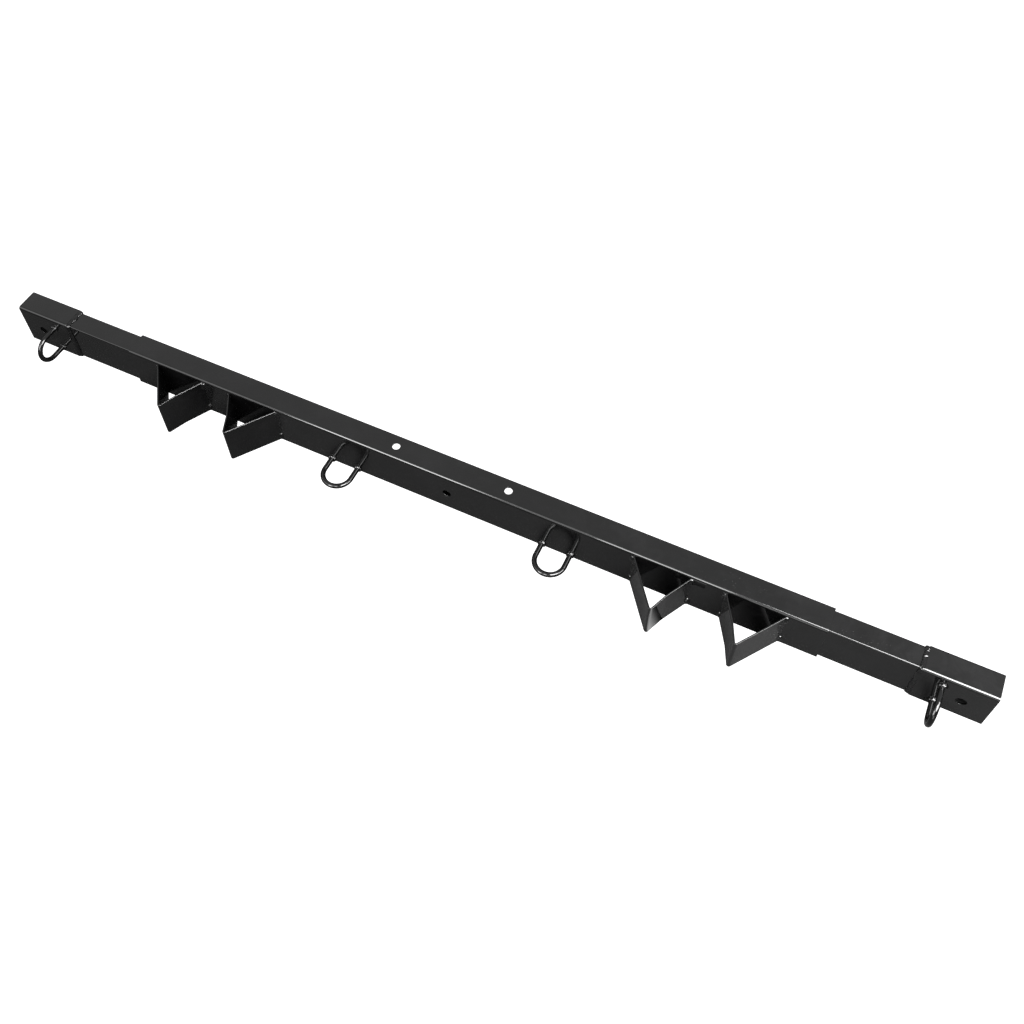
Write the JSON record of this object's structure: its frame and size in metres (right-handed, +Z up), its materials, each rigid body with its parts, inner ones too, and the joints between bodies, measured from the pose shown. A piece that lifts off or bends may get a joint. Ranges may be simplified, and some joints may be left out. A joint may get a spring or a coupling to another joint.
{
  "type": "spreader beam",
  "caption": "Telescoping rectangular steel beam with sliding sleeved ends, V-shaped bar brackets and welded rod loops along its front, for spreading and hanging loads.",
  "frame": {"origin": "middle of the centre hole's mouth, on the main tube's front face", "axes": "+X along the beam to the right sleeve seen from the front, -Y out of the front face where the brackets and loops stand, +Z up"},
  "size_m": [1.978, 0.1332, 0.1],
  "materials": {
    "black_gloss_paint": "gloss"
  },
  "bodies": {
    "beam": {"main_tube": "black_gloss_paint", "left_outer_bracket": "black_gloss_paint", "left_outer_bracket_welds": "black_gloss_paint", "left_inner_bracket": "black_gloss_paint", "left_inner_bracket_welds": "black_gloss_paint", "left_centre_loop": "black_gloss_paint", "left_centre_loop_welds": "black_gloss_paint", "right_outer_bracket": "black_gloss_paint", "right_outer_bracket_welds": "black_gloss_paint", "right_inner_bracket": "black_gloss_paint", "right_inner_bracket_welds": "black_gloss_paint", "right_centre_loop": "black_gloss_paint", "right_centre_loop_welds": "black_gloss_paint"},
    "left_extension": {"left_extension_tube": "black_gloss_paint", "left_end_sleeve": "black_gloss_paint", "left_sleeve_weld": "black_gloss_paint", "left_end_loop": "black_gloss_paint", "left_end_loop_welds": "black_gloss_paint"},
    "right_extension": {"right_extension_tube": "black_gloss_paint", "right_end_sleeve": "black_gloss_paint", "right_sleeve_weld": "black_gloss_paint", "right_end_loop": "black_gloss_paint", "right_end_loop_welds": "black_gloss_paint"}
  },
  "joints": [
    {"name": "left_extension_slide", "type": "slide", "parent": "beam", "child": "left_extension", "axis": [-1, 0, 0], "range_m": [-0.148, 0.25]},
    {"name": "right_extension_slide", "type": "slide", "parent": "beam", "child": "right_extension", "axis": [1, 0, 0], "range_m": [-0.148, 0.25]}
  ]
}
